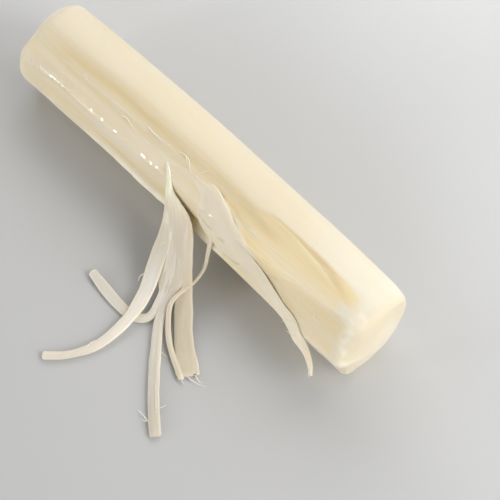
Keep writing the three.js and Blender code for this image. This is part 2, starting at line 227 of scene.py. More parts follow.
    # fibres along the pull: broad ones first, then fine ones on the torn faces
    r = r + (1 - wet) * (0.012 + 0.033 * torn) * long_fibre
    fine_fibre = rough(x * 0.09, y * 4.5, z * 4.5 + 2) + 0.6 * rough(x * 0.2, y * 8, z * 8 + 9)
    r = r + (1 - wet) * (0.003 + 0.022 * torn * (1 - 0.6 * film)) * fine_fibre
    # painted shade: darker, yellower colour in the hollow under the skin edge, in the wedge, in
    # the groove above the lip, along the edge of the strip, in the slits and on a band of the
    # side that faces down
    low_side = hump(angle, 78, 10) * part_way(x, -43, -22, 3)
    below_side = hump(angle, lip_line - 13, 6.5) * part_way(x, -19, 14, 5)
    beside_strip = np.exp(-((beside_strip / 1.2) ** 2)) * part_way(x, 10, 32, 3)
    painted_shade = (0.75 + 0.5 * smooth(0, 12, x)) * trough * torn + 0.65 * wedge + 1.3 * below_side
    painted_shade = painted_shade + 0.4 * low_side + 0.9 * beside_strip + 1.6 * slit
    painted_shade = np.clip(painted_shade, 0, 1.6)
    # whiter colour: painted highlights along the rim of the cut end, a painted glow of light
    # through the rim and thin edge of the -X end, painted light on the +X end face and painted
    # sheen on the wet streak along the shoulder; the crest of the lip is pale cheese
    start_rim = 1 - smooth(-46.7, -42.5, x - 0.8 * rough(x * 0.4, angle * 0.05, 2.0))
    start_rim = start_rim * (1 - 0.5 * smooth(5, 45, angle))
    pitted = hump(angle, 53, 9) * part_way(x, -42, -29, 2.5)
    streak_sheen = hump(angle, along([[-41, 56], [-31, 51]], x), 3.5) * part_way(x, -41, -29, 2)
    streak_sheen = streak_sheen * smooth(-0.5, 0.6, rough(x * 1.9, angle * 0.3, 9.0))
    pale_lip_and_highlights = 0.85 * rim * (0.6 + 0.7 * flakes) + 1.3 * crest**2 + 0.7 * streak_sheen + start_rim
    pale_lip_and_highlights = pale_lip_and_highlights + 0.6 * (1 - smooth(-46.6, -45.2, x)) + 0.35 * smooth(45.4, 46.6, x)
    pale_lip_and_highlights = np.clip(pale_lip_and_highlights, 0, 1)
    torn = np.maximum(torn, smooth(0, 0.4, wedge)) * (1 - 0.75 * smooth(40.5, 43.5, x))
    down = np.maximum(np.cos(np.radians(between(angle, 180))), 0.2)
    return np.minimum(r, AXIS_HEIGHT / down), torn, painted_shade, film, wet, pale_lip_and_highlights, pitted


def bow_at(x):
    return -BOW * (2 * x / LENGTH) ** 2


def beside_axis(x, angle, out):
    """The point in mm that lies out from the stick's axis at this place and angle."""
    turn = math.radians(angle)
    return [x, bow_at(x) - out * math.sin(turn), AXIS_HEIGHT + out * math.cos(turn)]


def stick_rings(angle, middle_steps, corner_steps):
    """x in mm and part of the full radius for each ring, from the -X end to the +X end."""
    turns = np.linspace(0, math.pi / 2, corner_steps + 1)[1:, None]
    steps = np.linspace(0, 1, 7)[1:, None]

    def end(dome, corner):
        inner = 1 - corner / RADIUS
        depth = [dome * steps ** 2 + 0 * corner, dome + corner * (1 - np.cos(turns))]
        part = [inner * steps, inner + corner / RADIUS * np.sin(turns)]
        return np.vstack(depth), np.vstack(part)

    start_depth, start_part = end(0.9, 2.0 + 1.8 * hump(angle, 0, 50))
    slant = 0.5 * np.sin(np.radians(angle)) + 0.45 * hump(angle, 10, 50)
    start_depth = start_depth + start_part * slant
    start_depth = np.maximum(start_depth, 0)
    cut_depth, cut_part = end(1.3, 1.3 + 1.2 * hump(angle, 35, 55))
    cut_depth = cut_depth + 0.75 * cut_part * hump(angle, -55, 60)
    first, last = start_depth[-1:] - LENGTH / 2, LENGTH / 2 - cut_depth[-1:]
    between_ends = first + (last - first) * np.linspace(0, 1, middle_steps + 1)[1:-1, None]
    x = np.vstack([start_depth - LENGTH / 2, between_ends, (LENGTH / 2 - cut_depth)[::-1]])
    return x, np.vstack([start_part, np.ones_like(between_ends), cut_part[::-1]])


def skin_over(rings, first_tip, last_tip):
    """Points and faces of a closed surface over equal rings, with a point at each end."""
    count, rows = rings.shape[1], rings.shape[0]
    points = np.vstack([[first_tip], rings.reshape(-1, 3), [last_tip]])
    turn = np.arange(count)
    after = (turn + 1) % count
    start = 1 + np.arange(rows - 1)[:, None] * count
    beyond = start + count
    quads = np.stack([start + turn, start + after, beyond + after, beyond + turn], axis=-1)
    first = np.stack([np.zeros(count, int), 1 + after, 1 + turn], axis=-1)
    foot = 1 + (rows - 1) * count
    last = np.stack([np.full(count, len(points) - 1), foot + turn, foot + after], axis=-1)
    return points, quads.reshape(-1, 4).tolist() + first.tolist() + last.tolist()


def make_mesh(name, points, faces):
    mesh = bpy.data.meshes.new(name)
    mesh.from_pydata((np.asarray(points) * 0.001).tolist(), [], faces)
    mesh.update()
    piece = bpy.data.objects.new(name, mesh)
    bpy.context.scene.collection.objects.link(piece)
    return piece


# the points lie closest together round the torn side
turns = np.linspace(-180, 180, 721)
close = 1 + 1.6 * smooth(-22, -12, turns) * (1 - smooth(108, 120, turns))
shares = np.concatenate([[0], np.cumsum((close[1:] + close[:-1]) / 2)])
angle = np.interp(np.arange(240) / 240, shares / shares[-1], turns)[None, :]
x, part = stick_rings(angle, 270, 10)
radius, *fields = relief(x, angle)
radius = radius * part
ring_points = np.stack(
    [
        np.broadcast_to(x, radius.shape),
        bow_at(x) - radius * np.sin(np.radians(angle)),
        AXIS_HEIGHT + radius * np.cos(np.radians(angle)),
    ],
    axis=-1,
)
middle = np.array([0, -BOW, AXIS_HEIGHT])
tip = np.array([LENGTH / 2, 0, 0])
points, faces = skin_over(ring_points, middle - tip, middle + tip)
stick = make_mesh("pulled_stick", points, faces)

# what each point carries: the grain along its fibres, then the marks in MARKS, among them
# painted shade, painted highlights and painted light
MARKS = ["torn", "painted_shade", "film", "wet", "pale_lip_and_highlights", "pitted", "string", "thin", "painted_light"]
fields = [np.concatenate([[0.0], field.ravel(), [0.0]]) for field in fields]
sources = [points]
grains = [points]
zero = np.zeros(len(points))
marks = [np.stack([*fields, zero, zero, zero + 1], axis=1)]


# The strings
# Five strings were pulled off the near side. They are still joined to it high on the
# shoulder, fall over the side as one thin sheet and part as they reach the table. Each
# is a flat bundle of fibres, thinner where it is high, and blunt where it was cut.
def spline(rows, steps):
    """Rows at even steps along a smooth line through the given rows."""
    rows = np.array(rows, float)
    ends = np.vstack([2 * rows[0] - rows[1], rows, 2 * rows[-1] - rows[-2]])
    gap = np.linalg.norm(np.diff(ends[:, :3], axis=0), axis=1) ** 0.5
    knot = np.concatenate([[0], np.cumsum(gap)])
    fine = np.linspace(knot[1], knot[-2], 600)
    i = np.clip(np.searchsorted(knot, fine, side="right") - 1, 1, len(knot) - 3)
    k = [knot[i + j - 1][:, None] for j in range(4)]
    p = [ends[i + j - 1] for j in range(4)]
    t = fine[:, None]
    a = [((k[j + 1] - t) * p[j] + (t - k[j]) * p[j + 1]) / (k[j + 1] - k[j]) for j in range(3)]
    b = [((k[j + 2] - t) * a[j] + (t - k[j]) * a[j + 1]) / (k[j + 2] - k[j]) for j in range(2)]
    line = ((k[2] - t) * b[0] + (t - k[1]) * b[1]) / (k[2] - k[1])
    run = np.concatenate([[0], np.cumsum(np.linalg.norm(np.diff(line[:, :3], axis=0), axis=1))])
    last_mm = run[-1] - 1 + np.arange(1, 11) / 10
    even = np.concatenate([np.linspace(0, run[-1] - 1, steps - 10), last_mm])
    columns = [np.interp(even, run, line[:, j]) for j in range(line.shape[1])]
    return np.stack(columns, axis=1), even


def sweep_string(name, rows, hug, seed, painted_light, sides=32, steps=136, ragged=0.0, raw=1.0,
                 fan_light=1.0, top=0.0, end_painted_shade=0.0, edge_highlight=0.5):
    """A flat string along rows of x, y, z, width, thickness, lean in mm and degrees."""
    line, run = spline(rows, steps)
    place = line[:, :3]
    ahead = np.gradient(place, axis=0)
    ahead /= np.linalg.norm(ahead, axis=1)[:, None]
    wobble = 14 * smooth(9, 18, run) * rough(run * 0.13, seed + 3.0, 0.0)
    lean = np.radians(line[:, 5] + wobble)
    face = np.stack([np.zeros(len(line)), -np.sin(lean), np.cos(lean)], axis=1)
    across = np.cross(face, ahead)
    across /= np.linalg.norm(across, axis=1)[:, None]
    face = np.cross(ahead, across)
    turn = (np.arange(sides) + 0.5) * 2 * np.pi / sides
    soft = [np.sign(f) * np.abs(f) ** 0.9 for f in (np.cos(turn), np.sin(turn))]
    wave = rough(run[:, None] * 0.12, soft[0][None, :] * 1.6, seed + 0.5 * soft[1][None, :])
    fibre = rough(run[:, None] * 0.1, soft[0][None, :] * line[:, 3:4] * 2, seed + 7.0)
    width = line[:, 3:4] * (1 + 0.12 * rough(run * 0.3, seed + 9.0, 0.0)[:, None])
    rounding = np.sqrt(1 - 0.75 * np.clip(1 - (run[-1] - run) / 0.5, 0, 1) ** 2)[:, None]
    width = width * (0.3 + 0.7 * rounding)
    side = width / 2 * soft[0] * (1 + 0.1 * wave)
    lift = line[:, 4:5] / 2 * soft[1] * (1 + 0.4 * fibre) * rounding
    lift = lift - hug * side**2 / (2 * RADIUS)
    end_fade = smooth(run[-1] - 2.5, run[-1], run)[:, None]
    push = ragged * end_fade * (rough(side * 1.3, seed, 0.0) + 0.6 * rough(side * 4, seed, 0.0))
    rings = place[:, None] + across[:, None] * side[..., None] + face[:, None] * lift[..., None]
    rings = rings + ahead[:, None] * push[..., None]
    rings[..., 2] = np.maximum(rings[..., 2], 0.02)
    points, faces = skin_over(rings, rings[0].mean(axis=0), rings[-1].mean(axis=0))
    down_run = np.broadcast_to(run[:, None] + seed * 11, side.shape)
    grain = np.stack([down_run, side + seed, lift], axis=-1)
    thin = np.repeat(smooth(0.5, 5.0, run), sides)
    thin = np.concatenate([thin[:1], thin, thin[-1:]])
    height = np.repeat(place[:, 2], sides)
    height = np.concatenate([height[:1], height, height[-1:]])
    # painted light: high up the strings take more of the film colour, standing in for the
    # yellow cheese seen through the thin sheet
    free = raw * thin * (1 - 0.5 * smooth(3, 9, height))
    one = np.ones(len(points))
    # painted highlight: the side edges and the cut end of each string are made paler
    edge = np.abs(soft[0])[None, :] + 0 * side
    cut = smooth(run[-1] - 1.2, run[-1], run)[:, None]
    edge = np.maximum(smooth(0.6, 1, edge), cut)
    edge = edge_highlight * thin * np.concatenate([[0], edge.ravel(), [1]])
    sources.append(points)
    first, last = grain[0].mean(axis=0), grain[-1].mean(axis=0)
    grains.append(np.vstack([first, grain.reshape(-1, 3), last]))
    # painted light and shade: each string has its own brightness low down, where it lies lit or
    # shaded, the sheet higher up has one brightness, the top is raised or lowered by top, and
    # the far end is made darker
    fan = smooth(1, 6, height)
    far = np.repeat(smooth(run[-1] - 18, run[-1] - 6, run), sides)
    far = np.concatenate([far[:1], far, far[-1:]])
    painted_light = (1 - fan) * (painted_light - 1) + fan * (fan_light - 1) + top * smooth(9, 14, height)
    painted_light = 1 + thin * (painted_light - end_painted_shade * far)
    none = 0 * one
    marks.append(np.stack([one, none, 1 - free, none, edge, none, free, thin, painted_light], axis=1))
    return make_mesh(name, points, faces)


def table_string(name, thickness, rows, seed, painted_light, ragged=0.15, raw=1.0, end_painted_shade=0.08):
    high = np.clip(np.array(rows)[:, 2] / 8, 0, 1)
    depth = thickness + (0.6 - thickness) * high
    heights = [0.6, 2.1, 3.8, 6, 8.8, 11.8, 15, 17]
    lean = np.interp(np.array(rows)[:, 2], heights, [0, 12, 24, 38, 50, 60, 55, 38])
    full = [[*row, d, a] for row, d, a in zip(rows, depth, lean)]
    return sweep_string(name, full, 0.25, seed, painted_light, ragged=ragged, raw=raw,
                        fan_light=0.9, top=0.24, end_painted_shade=end_painted_shade)


strings = [
    table_string("web", 0.4, [
        [-7.2, -3.8, 15.3, 0.5],
        [-4.6, -5.6, 16.1, 0.6],
        [-3.4, -6.7, 15.55, 0.8],
        [-2.1, -7.7, 14.7, 1.0],
        [-1.2, -8.5, 13.4, 1.3],
        [0.4, -9.0, 11.9, 2.8],
        [2.6, -11.0, 9.7, 5.2],
        [4.2, -13.7, 7.2, 5.8],
        [5.8, -16.5, 4.9, 5.2],
        [7.7, -18.6, 3.6, 3.6],
        [8.7, -20.0, 2.8, 2.6],
        [9.6, -21.5, 1.9, 1.0],
    ], 7.0, 0.92, raw=0.3),
    table_string("left_string", 1.05, [
        [-7.5, -3.6, 15.6, 0.6],
        [-4.6, -5.7, 16.1, 0.6],
        [-3.4, -6.7, 15.55, 0.8],
        [-2.2, -7.8, 14.7, 1.0],
        [-1.5, -8.7, 13.4, 1.3],
        [-0.9, -9.2, 11.6, 1.8],
        [1.2, -11.8, 8.8, 2.5],
        [3.1, -15.6, 6.0, 3.1],
        [4.6, -19.0, 3.9, 3.2],
        [6.3, -22.8, 2.2, 2.9],
        [7.6, -27.4, 1.25, 2.5],
        [7.9, -32.3, 0.7, 2.1],
        [7.3, -37.2, 0.55, 1.9],
        [4.9, -42.0, 0.55, 1.6],
        [1.7, -45.4, 0.55, 1.6],
    ], 1.0, 1.05, end_painted_shade=0.12),
    table_string("hooked_string", 0.8, [
        [-6.9, -3.9, 15.5, 0.6],
        [-4.6, -5.6, 16.1, 0.6],
        [-3.4, -6.7, 15.55, 0.8],
        [-2.2, -7.7, 14.7, 1.0],
        [-1.3, -8.6, 13.4, 1.3],
        [0.0, -9.2, 12.0, 1.6],
        [2.6, -11.6, 9.2, 2.0],
        [5.2, -14.6, 6.5, 2.4],
        [7.4, -17.6, 4.2, 2.4],
        [9.0, -20.5, 2.4, 2.1],
        [10.2, -25.5, 0.65, 1.8],
        [8.9, -27.3, 0.45, 1.9],
        [5.7, -28.1, 0.43, 2.1],
        [1.0, -28.0, 0.45, 2.3],
        [-4.6, -27.3, 0.85, 1.8],
    ], 2.0, 0.97),
    table_string("middle_string", 1.05, [
        [-6.5, -4.1, 15.5, 0.6],
        [-4.6, -5.6, 16.1, 0.6],
        [-3.3, -6.6, 15.55, 0.8],
        [-2.1, -7.6, 14.7, 1.0],
        [-1.1, -8.4, 13.4, 1.3],
        [0.8, -8.9, 12.6, 1.6],
        [3.8, -10.9, 9.9, 2.0],
        [6.9, -13.7, 6.8, 2.2],
        [9.7, -17.3, 3.8, 2.0],
        [10.9, -21.7, 1.8, 1.7],
        [12.3, -25.0, 0.9, 1.9],
        [15.4, -28.7, 0.6, 2.1],
        [20.1, -33.7, 0.56, 2.2],
        [24.6, -37.9, 0.56, 2.35],
        [28.3, -40.9, 0.56, 2.3],
    ], 3.0, 0.87, raw=0.9),
    table_string("wide_string", 0.55, [
        [-6.1, -4.2, 15.4, 0.6],
        [-4.6, -5.6, 16.1, 0.6],
        [-3.3, -6.6, 15.55, 0.8],
        [-2.1, -7.6, 14.7, 1.0],
        [-1.0, -8.3, 13.4, 1.3],
        [1.4, -8.9, 12.35, 1.8],
        [4.4, -9.8, 10.8, 2.5],
        [6.6, -11.8, 8.8, 2.9],
        [8.7, -14.4, 6.0, 3.1],
        [11.2, -17.2, 3.6, 3.3],
        [14.2, -20.3, 1.6, 3.5],
        [17.6, -23.7, 0.6, 3.6],
        [24.1, -28.6, 0.33, 4.5],
    ], 4.0, 0.91, ragged=0.7, raw=0.35),
    table_string("thin_string", 0.75, [
        [9.6, -6.8, 9.9, 1.0],
        [10.1, -8.7, 10.0, 1.0],
        [10.8, -10.3, 7.6, 0.8],
        [11.8, -12.5, 5.0, 0.8],
        [12.1, -15.6, 3.9, 0.75],
        [11.7, -18.7, 3.4, 0.8],
        [11.8, -21.3, 2.6, 0.9],
        [13.6, -23.8, 1.5, 1.0],
        [17.0, -26.7, 0.75, 1.1],
        [23.7, -30.0, 0.62, 1.2],
    ], 5.0, 0.93, raw=0.6),
]


# The hanging strip
# One wide strip has been pulled down along the side. It starts broad on the torn face,
# lies against the side as it narrows and ends in a thin tip that hangs clear.
strip_rows = []
for sx, turn, lift, width, lean in [
    [1.0, 36, -1.0, 3.5, 34],
    [3.4, 36, -0.42, 5.0, 36],
    [6.4, 39, 0.1, 5.7, 40],
    [9.2, 46, 0.3, 6.3, 47],
    [12.2, 54, 0.42, 6.7, 56],
    [16.0, 65, 0.44, 6.1, 63],
    [20.1, 71, 0.38, 5.1, 67],
    [28.4, 82, 0.3, 3.3, 68],
    [32.0, 84, 0.33, 2.7, 62],
    [35.0, 90, 0.85, 2.4, 56],
    [37.5, 100, 1.6, 1.8, 48],
    [39.4, 108, 2.8, 1.2, 45],
    [41.0, 113, 4.4, 0.6, 45],
]:
    out = float(stick_radius(sx / LENGTH + 0.5, turn)[0]) + lift
    strip_rows.append([*beside_axis(sx, turn, out), width, 0.5, lean])
strings.append(sweep_string("hanging_strip", strip_rows, 0.8, 6.0, 1.04, sides=48, ragged=0.3,
                            raw=0.08, fan_light=1.06, top=-0.08, edge_highlight=0.28))

# a narrow strand lies beside it, held on only at its ends
strand_rows = []
for sx, turn, lift, width in [
    [5.4, 54, -0.5, 0.6],
    [5.9, 61, 0.0, 1.0],
    [6.8, 67, 0.25, 1.7],
    [8.8, 73, 0.35, 2.3],
    [11.6, 79, 0.38, 2.3],
    [14.6, 82, 0.35, 1.9],
    [17.6, 82, 0.2, 1.4],
    [20.6, 80, -0.1, 0.8],
]:
    out = float(stick_radius(sx / LENGTH + 0.5, turn)[0]) + lift
    strand_rows.append([*beside_axis(sx, turn, out), width, 0.6, turn])
strings.append(sweep_string("side_strand", strand_rows, 0.5, 8.0, 1.0,
                            sides=16, steps=60, raw=0.0))

# fibres have parted in three slits at the root of the strip; painted shade makes them yellower
# and darker inside
for slit in (
    [[6.0, -7.75, 13.4], [7.6, -8.2, 14.0], [8.8, -8.4, 13.8], [10.0, -8.4, 13.9]],
    [[11.7, -8.6, 13.1], [12.6, -8.5, 13.3], [13.4, -8.3, 13.4]],
    [[13.6, -9.2, 10.1], [15.4, -9.1, 10.5], [16.7, -9.1, 10.7], [17.9, -9.0, 11.2]],
):
    slit = np.array(slit)
    for points, mark_rows in zip(sources, marks):
        x, y, z = np.asarray(points).T
        away_y = y - np.interp(x, slit[:, 0], slit[:, 1])
        away = np.hypot(away_y, z - np.interp(x, slit[:, 0], slit[:, 2]))
        inside = np.exp(-((away / 0.27) ** 2)) * part_way(x, slit[0, 0], slit[-1, 0], 0.4)
        mark_rows[:, MARKS.index("painted_shade")] += 1.5 * inside
        mark_rows[:, MARKS.index("film")] *= 1 - inside
        mark_rows[:, MARKS.index("string")] *= 1 - inside
        mark_rows[:, MARKS.index("painted_light")] -= 0.15 * inside

# everything is one piece of cheese, so the strings and the strip are fused to the stick
group = bpy.data.collections.new("pulled_off")
bpy.context.scene.collection.children.link(group)
for piece in strings:
    bpy.context.scene.collection.objects.unlink(piece)
    group.objects.link(piece)
fuse = stick.modifiers.new("fuse", "BOOLEAN")
fuse.operation = "UNION"
fuse.solver = "MANIFOLD"
fuse.operand_type = "COLLECTION"
fuse.collection = group
bpy.context.view_layer.update()
whole = stick.evaluated_get(bpy.context.evaluated_depsgraph_get())
fused = bpy.data.meshes.new_from_object(whole)
stick.modifiers.clear()
stick.data = fused
for piece in strings:
    bpy.data.objects.remove(piece)
bpy.data.collections.remove(group)

# each point takes its grain and marks from the nearest point that was fused
source = KDTree(sum(len(points) for points in sources))
for index, point in enumerate(np.vstack(sources)):
    source.insert(point * 0.001, index)
source.balance()
nearest = np.array([source.find(v.co)[1] for v in fused.vertices])
attribute = fused.attributes.new("grain", "FLOAT_VECTOR", "POINT")
grain = (np.vstack(grains)[nearest] * 0.001).astype(np.float32)
attribute.data.foreach_set("vector", grain.ravel())
for values, label in zip(np.vstack(marks)[nearest].T.astype(np.float32), MARKS):
    attribute = fused.attributes.new(label, "FLOAT", "POINT")
    attribute.data.foreach_set("value", values.copy())
fused.shade_smooth()
fused.set_sharp_from_angle(angle=math.radians(70))


# The loose fibres
# Single fibres that came away where the cheese was torn. They stand off the ends of the
# strings, off the edges of the strip and here and there off the torn face, each a hair
# of cheese under a fifth of a millimetre thick that thins out towards its tip.
hair_lines = []
for line in [
    [[-18.4, 32, 0], [-17.2, 30, 0.12], [-15.8, 32, 0.18], [-15, 33.5, 0]],
    [[-4.6, 18, 0], [-3.4, 16, 0.12], [-1.9, 17, 0.2], [-0.9, 23, 0.15], [0.2, 27, 0]],
    [[-2.6, 17, 0.1], [-2, 20.5, 0.25], [-1.7, 22, 0.2]],
    [[1.5, 20, 0], [2, 15, 0.15], [2.6, 10.5, 0.1]],
    [[-30.1, 23, 0], [-29.3, 24.5, 0.08], [-28.6, 26, 0]],
    [[-12.5, 20, 0], [-10.5, 21.5, 0.08], [-8.5, 21, 0.03]],
    [[5.3, 20, 0], [6.5, 21.5, 0.1], [7.7, 22, 0.15], [8.7, 25, 0.1]],
    [[9.5, 26, 0.1], [10.4, 26.5, 0.25], [11.3, 27, 0.2]],
    [[31.1, 49, 0], [31.6, 53, 0.12], [32.2, 57, 0]],
    [[35.4, 49, 0], [35.7, 56, 0.12], [36.6, 57, 0]],
    [[16.1, 29, 0], [17, 28, 0.06], [18, 28.5, 0]],
    [[26.5, 37, 0], [28.4, 34, 0.06], [30, 33.5, 0]],
]:
    on_face = []
    for fx, turn, lift in line:
        out = float(relief(np.array([[fx]]), np.array([[turn]]))[0][0, 0]) + lift
        on_face.append(beside_axis(fx, turn, out))
    hair_lines.append(on_face)

# off the strings, then off the strip, as points in mm
hair_lines += [
    [[2.9, -15.6, 6.5], [3.2, -15.1, 7.1], [3.7, -14.6, 7.4]],
    [[4.6, -21.2, 4.6], [4.3, -21.4, 4.6], [4.2, -22.2, 4.5], [4.6, -23, 4.3]],
    [[6.6, -38.3, 1.1], [6.5, -37.1, 1.35], [7, -36.2, 1.3]],
    [[25.2, -39.8, 0.5], [24.6, -39.8, 0.5], [23.4, -39.7, 0.4], [22.3, -39.7, 0.4]],
    [[25.2, -39.8, 0.5], [24.6, -40.3, 0.5], [23.9, -40.5, 0.4]],
    [[24.6, -37.2, 0.5], [24.9, -36.6, 0.5], [25.1, -36, 0.4], [25.3, -35.3, 0.3]],
    [[16.3, -29, 0.5], [17, -28.9, 0.4], [17.8, -28.9, 0.4], [18.6, -28.7, 0.3]],
    [[24.2, -28.7, 0.4], [25, -28.7, 0.4], [26.5, -28.3, 0.4], [28, -27.6, 0.3]],
    [[24.8, -27.5, 0.4], [26.2, -27.8, 0.4], [27, -27.5, 0.4]],
    [[23.2, -29.8, 0.7], [24, -30.1, 0.6], [24.7, -30.2, 0.5]],
    [[32.9, -9.9, 11], [32.3, -10.3, 10.8], [31.5, -10.6, 10.6], [31.2, -11.3, 10.2]],
    [[34.9, -11.3, 9.8], [34.3, -11.5, 9.5], [33.4, -11.4, 9.3], [32.6, -11.5, 9.2]],
    [[40.4, -12.8, 5], [40.9, -12.9, 4.6], [41.3, -12.7, 4.5]],
    [[40.3, -13, 4.8], [40.6, -13.4, 4.3], [41, -13.6, 4]],
]

hair_curves = bpy.data.curves.new("loose_fibres", "CURVE")
hair_curves.dimensions = "3D"
for line in hair_lines:
    spline_points = hair_curves.splines.new("POLY").points
    spline_points.add(len(line) - 1)
    for point, spot in zip(spline_points, line):
        point.co = [*(0.001 * v for v in spot), 1]
hairs = bpy.data.objects.new("loose_fibres", hair_curves)
bpy.context.scene.collection.objects.link(hairs)

hair_tree = bpy.data.node_groups.new("loose fibres", "GeometryNodeTree")
hair_tree.interface.new_socket("Lines", in_out="INPUT", socket_type="NodeSocketGeometry")
for label, kind, value in [
    ["Thickness", "Float", 0.00009], ["Tip", "Float", 0.4], ["Waviness", "Float", 0.0003],
    ["Seed", "Float", 4.0], ["Steps", "Int", 14], ["Sides", "Int", 6],
]:
    kind = "NodeSocket" + kind
    made = hair_tree.interface.new_socket(label, in_out="INPUT", socket_type=kind)
    made.default_value = value
hair_tree.interface.new_socket("Material", in_out="INPUT", socket_type="NodeSocketMaterial")
hair_tree.interface.new_socket("Fibres", in_out="OUTPUT", socket_type="NodeSocketGeometry")


def hair_node(kind, **settings):
    made = hair_tree.nodes.new(kind)
    for key, value in settings.items():
        setattr(made, key, value)
    return made


def join(source, target):
    hair_tree.links.new(source, target)


given = hair_node("NodeGroupInput").outputs
rounded = hair_node("GeometryNodeCurveSplineType", spline_type="CATMULL_ROM")
join(given["Lines"], rounded.inputs["Curve"])
stepped = hair_node("GeometryNodeResampleCurve")
join(rounded.outputs["Curve"], stepped.inputs["Curve"])
join(given["Steps"], stepped.inputs["Count"])

# each fibre wavers about its line, more so away from its root
waver = hair_node("ShaderNodeTexNoise", noise_dimensions="4D")
waver.inputs["Scale"].default_value = 900
join(hair_node("GeometryNodeInputPosition").outputs["Position"], waver.inputs["Vector"])
join(given["Seed"], waver.inputs["W"])
centred = hair_node("ShaderNodeVectorMath", operation="SUBTRACT")
join(waver.outputs["Color"], centred.inputs[0])
centred.inputs[1].default_value = (0.5, 0.5, 0.5)
from_root = hair_node("GeometryNodeSplineParameter").outputs["Factor"]
amount = hair_node("ShaderNodeMath", operation="MULTIPLY")
join(given["Waviness"], amount.inputs[0])
join(from_root, amount.inputs[1])
offset = hair_node("ShaderNodeVectorMath", operation="SCALE")
join(centred.outputs["Vector"], offset.inputs[0])
join(amount.outputs["Value"], offset.inputs["Scale"])
moved = hair_node("GeometryNodeSetPosition")
join(stepped.outputs["Curve"], moved.inputs["Geometry"])
join(offset.outputs["Vector"], moved.inputs["Offset"])

# and thins out towards its tip
taper = hair_node("ShaderNodeMapRange")
join(from_root, taper.inputs["Value"])
taper.inputs["To Min"].default_value = 1.0
join(given["Tip"], taper.inputs["To Max"])
ring = hair_node("GeometryNodeCurvePrimitiveCircle")
join(given["Sides"], ring.inputs["Resolution"])
join(given["Thickness"], ring.inputs["Radius"])
swept = hair_node("GeometryNodeCurveToMesh")
swept.inputs["Fill Caps"].default_value = True
join(moved.outputs["Geometry"], swept.inputs["Curve"])
join(ring.outputs["Curve"], swept.inputs["Profile Curve"])
join(taper.outputs["Result"], swept.inputs["Scale"])
real = hair_node("GeometryNodeRealizeInstances")
join(swept.outputs["Mesh"], real.inputs["Geometry"])
coloured = hair_node("GeometryNodeSetMaterial")
join(real.outputs["Geometry"], coloured.inputs["Geometry"])
join(given["Material"], coloured.inputs["Material"])
join(coloured.outputs["Geometry"], hair_node("NodeGroupOutput").inputs["Fibres"])


# The cheese
# Moist mozzarella: ivory skin with a soft shine, a slightly yellower torn inside with
# fine fibres along it, and whiter strings that let some light through.
cheese = bpy.data.materials.new("cheese")
cheese.use_nodes = True
cheese.node_tree.nodes.clear()


def node(tree, kind, **settings):
    made = tree.nodes.new(kind)
    for key, value in settings.items():
        setattr(made, key, value)
    return made


def feed(tree, socket, value):
    if hasattr(value, "is_output"):
        tree.links.new(value, socket)
    else:
        socket.default_value = value


def effect(name, values, result):
    """An empty shared effect: values are [name, default], a bare name takes a vector."""
    tree = bpy.data.node_groups.new(name, "ShaderNodeTree")
    for label, default in values:
        kind = "NodeSocketVector" if default is None else "NodeSocketFloat"
        socket = tree.interface.new_socket(label, in_out="INPUT", socket_type=kind)
        if default is not None:
            socket.default_value = default
    tree.interface.new_socket(result, in_out="OUTPUT", socket_type="NodeSocketFloat")
    return tree, node(tree, "NodeGroupInput").outputs, node(tree, "NodeGroupOutput").inputs[0]


def noise_of(tree, vector, scale, detail, stretch):
    """Noise over a vector, drawn out along its x when stretch is below 1."""
    shape = node(tree, "ShaderNodeCombineXYZ")
    shape.inputs["Y"].default_value = 1
    shape.inputs["Z"].default_value = 1
    feed(tree, shape.inputs["X"], stretch)
    place = node(tree, "ShaderNodeVectorMath", operation="MULTIPLY")
    feed(tree, place.inputs[0], vector)
    feed(tree, place.inputs[1], shape.outputs["Vector"])
    made = node(tree, "ShaderNodeTexNoise")
    feed(tree, made.inputs["Vector"], place.outputs["Vector"])
    feed(tree, made.inputs["Scale"], scale)
    feed(tree, made.inputs["Detail"], detail)
    return made.outputs["Fac"]


def ramp(tree, value, low, high):
    made = node(tree, "ShaderNodeMapRange", interpolation_type="SMOOTHSTEP")
    feed(tree, made.inputs["Value"], value)
    feed(tree, made.inputs["From Min"], low)
    feed(tree, made.inputs["From Max"], high)
    return made.outputs["Result"]


def maths(tree, operation, *values):
    made = node(tree, "ShaderNodeMath", operation=operation)
    for socket, value in zip(made.inputs, values):
        feed(tree, socket, value)
    return made.outputs["Value"]


# fibre grain: fine lines along the pull, with a few coarser ones among them
grain_tree, given, result = effect("fibre grain", [
    ["Vector", None], ["Scale", 2200], ["Stretch", 0.05], ["Coarse", 0.5]], "Height")
fine = noise_of(grain_tree, given["Vector"], given["Scale"], 4.0, given["Stretch"])
wide = maths(grain_tree, "MULTIPLY", given["Scale"], 0.32)
wide = noise_of(grain_tree, given["Vector"], wide, 2.0, given["Stretch"])
wide = maths(grain_tree, "MULTIPLY", wide, given["Coarse"])
feed(grain_tree, result, maths(grain_tree, "ADD", fine, wide))

# mottling: soft patches, drawn out along the pull
mottle_tree, given, result = effect("mottling", [
    ["Vector", None], ["Scale", 120], ["Stretch", 0.3], ["Low", 0.4], ["High", 0.6]], "Mask")
patches = noise_of(mottle_tree, given["Vector"], given["Scale"], 3.0, given["Stretch"])
feed(mottle_tree, result, ramp(mottle_tree, patches, given["Low"], given["High"]))


cheese_tree = cheese.node_tree


def mark(name):
    made = node(cheese_tree, "ShaderNodeAttribute", attribute_name=name)
    return made.outputs["Vector" if name == "grain" else "Fac"]


def use(tree, **values):
    """A shared effect over the grain, with the given values put in."""
    made = node(cheese_tree, "ShaderNodeGroup", node_tree=tree)
    feed(cheese_tree, made.inputs["Vector"], mark("grain"))
    for label, value in values.items():
        feed(cheese_tree, made.inputs[label], value)
    return made.outputs[0]


def blend(factor, a, b):
    made = node(cheese_tree, "ShaderNodeMix", data_type="RGBA")
    for socket, value in ((0, factor), (6, a), (7, b)):
        feed(cheese_tree, made.inputs[socket], value)
    return made.outputs[2]


def cheese_maths(operation, *values):
    return maths(cheese_tree, operation, *values)


